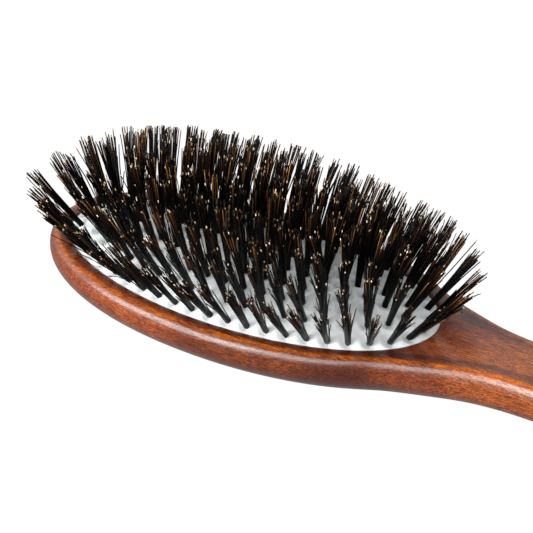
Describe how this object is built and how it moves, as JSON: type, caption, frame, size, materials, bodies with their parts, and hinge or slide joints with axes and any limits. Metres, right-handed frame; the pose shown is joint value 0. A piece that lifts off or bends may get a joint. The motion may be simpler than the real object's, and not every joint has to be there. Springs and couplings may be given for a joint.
{
  "type": "cushion hairbrush",
  "caption": "Oval wooden cushion hairbrush with a straight handle, a domed white rubber pad and dark bristle tufts fanned in concentric rings.",
  "frame": {"origin": "middle of the flat back of the head, the face that the brush rests on", "axes": "+X along the brush to the handle's end, +Z out through the pad to the bristle tips, +Y across the head"},
  "size_m": [0.228, 0.0792, 0.0415],
  "materials": {
    "wood": "clear gloss lacquer over a red-brown stain",
    "rubber": "smooth satin",
    "bristle": "natural satin with paler split tips",
    "staple_wire": "drawn wire"
  },
  "bodies": {
    "brush": {"wooden_body": "wood", "rubber_cushion": "rubber"},
    "middle_ring": {"tufts_ring_5": "bristle", "staples_ring_5": "staple_wire"},
    "fourth_ring": {"tufts_ring_4": "bristle", "staples_ring_4": "staple_wire"},
    "third_ring": {"tufts_ring_3": "bristle", "staples_ring_3": "staple_wire"},
    "second_ring": {"tufts_ring_2": "bristle", "staples_ring_2": "staple_wire"},
    "outer_ring": {"tufts_ring_1": "bristle", "staples_ring_1": "staple_wire"}
  },
  "joints": [
    {"name": "pad_press", "type": "slide", "parent": "brush", "child": "middle_ring", "axis": [0, 0, -1], "range_m": [0, 0.003], "stiffness_N_per_m": 3000, "deforming": ["rubber_cushion"]},
    {"name": "fourth_ring_press", "type": "slide", "parent": "brush", "child": "fourth_ring", "axis": [0, 0, -1], "range_m": [0, 0.00297]},
    {"name": "third_ring_press", "type": "slide", "parent": "brush", "child": "third_ring", "axis": [0, 0, -1], "range_m": [0, 0.00263]},
    {"name": "second_ring_press", "type": "slide", "parent": "brush", "child": "second_ring", "axis": [0, 0, -1], "range_m": [0, 0.00164]},
    {"name": "outer_ring_press", "type": "slide", "parent": "brush", "child": "outer_ring", "axis": [0, 0, -1], "range_m": [0, 0.000267]}
  ],
  "couplings": [
    {"joint": "fourth_ring_press", "follows": "pad_press", "ratio": 0.989},
    {"joint": "third_ring_press", "follows": "pad_press", "ratio": 0.877},
    {"joint": "second_ring_press", "follows": "pad_press", "ratio": 0.545},
    {"joint": "outer_ring_press", "follows": "pad_press", "ratio": 0.089}
  ]
}
